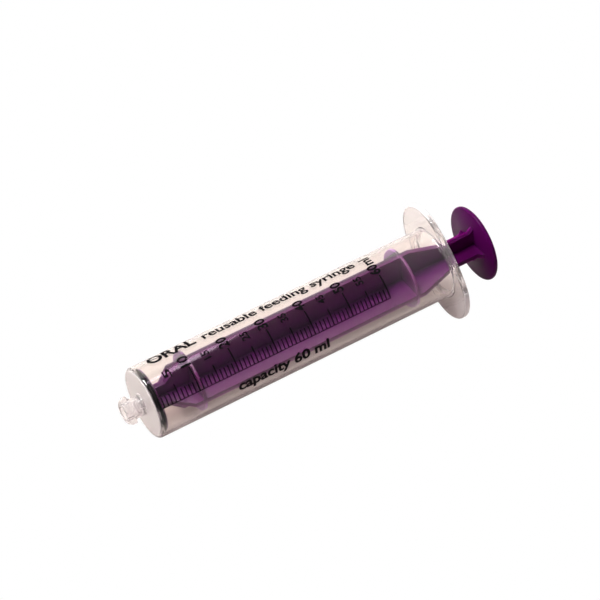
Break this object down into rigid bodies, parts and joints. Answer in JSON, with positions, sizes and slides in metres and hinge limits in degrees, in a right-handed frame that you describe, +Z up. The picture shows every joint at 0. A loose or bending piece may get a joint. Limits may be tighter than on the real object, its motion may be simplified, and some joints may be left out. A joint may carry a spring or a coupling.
{
  "type": "oral syringe",
  "caption": "Clear graduated barrel with a female tip connector and finger flange; a cross-finned plunger with a round thumb rest slides and turns in it behind a rubber seal ring.",
  "frame": {"origin": "centre of the tip connector's mouth, on the barrel's axis (the claimed mount's point lies 0.5 mm inside the mouth, past its lead-in)", "axes": "+X along the barrel's axis from the tip to the thumb rest, +Y along the finger flange, +Z up with the flange level"},
  "size_m": [0.1625, 0.05, 0.0344],
  "materials": {
    "clear_barrel": "clear moulded polypropylene, slightly milky, glossy",
    "purple_plunger": "translucent purple moulded polypropylene, satin gloss",
    "black_seal": "black moulded rubber, slightly oiled"
  },
  "bodies": {
    "barrel": {"barrel": "clear_barrel"},
    "seal": {"seal_ring": "black_seal"},
    "plunger": {"plunger": "purple_plunger"}
  },
  "joints": [
    {"name": "plunger_slide", "type": "slide", "parent": "barrel", "child": "seal", "axis": [1, 0, 0], "range_m": [0, 0.11]},
    {"name": "plunger_turn", "type": "hinge", "parent": "seal", "child": "plunger", "pos_m": [0.01063, 0, 0], "axis": [1, 0, 0], "continuous": true}
  ]
}
